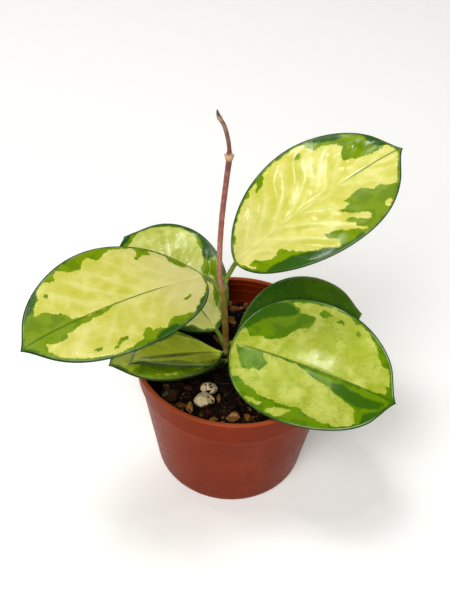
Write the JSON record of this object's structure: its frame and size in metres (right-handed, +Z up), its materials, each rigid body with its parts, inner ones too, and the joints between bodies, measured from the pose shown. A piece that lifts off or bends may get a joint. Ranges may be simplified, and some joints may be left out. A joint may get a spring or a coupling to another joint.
{
  "type": "potted hoya plant",
  "caption": "Young variegated waxy-leaved hoya with broad leaves and one upright climbing shoot, growing in a thin round plastic nursery pot of potting mix.",
  "frame": {"origin": "centre of the pot's flat underside", "axes": "+Z up along the pot's axis, the long way of the part; +X to the right and +Y away in the picture's view"},
  "size_m": [0.1618, 0.1309, 0.205],
  "materials": {
    "pot_plastic": "thin moulded terracotta-coloured plastic, satin to glossy",
    "potting_mix": "dark moist mix of bark fines and peat, crumbly",
    "stem": "olive-brown woody stem turning mauve-pink up the climbing shoot",
    "leaf_cream": "glossy thick leaf, cream-yellow centre with ragged green margin",
    "leaf_speckled": "glossy thick leaf, finely speckled cream and lime with green patches",
    "leaf_lime": "glossy thick leaf, lime and mid green with a grey-green sheen",
    "leaf_green": "satin plain dark green leaf",
    "pumice": "pale porous stone with dark pits",
    "grey_stone": "dull grey stone",
    "bark": "rough brown bark with paler broken faces"
  },
  "bodies": {
    "root": {"pot": "pot_plastic", "potting_mix": "potting_mix", "vine_stem": "stem", "leaf_upper_left": "leaf_cream", "leaf_upper_right": "leaf_cream", "leaf_back_left": "leaf_cream", "leaf_front_right": "leaf_speckled", "leaf_back_right": "leaf_green", "leaf_low_left": "leaf_lime", "leaf_low_left_under": "leaf_lime", "pumice_large": "pumice", "pumice_small": "pumice", "grey_stone": "grey_stone", "woody_twig": "bark", "bark_chip_01": "bark", "bark_chip_02": "bark", "bark_chip_03": "bark", "bark_chip_04": "bark", "bark_chip_05": "bark", "bark_chip_06": "bark", "bark_chip_07": "bark", "bark_chip_08": "bark", "bark_chip_09": "bark", "bark_chip_10": "bark", "bark_chip_11": "bark", "bark_chip_12": "bark", "bark_chip_13": "bark", "bark_chip_14": "bark", "bark_chip_15": "bark"}
  },
  "joints": []
}
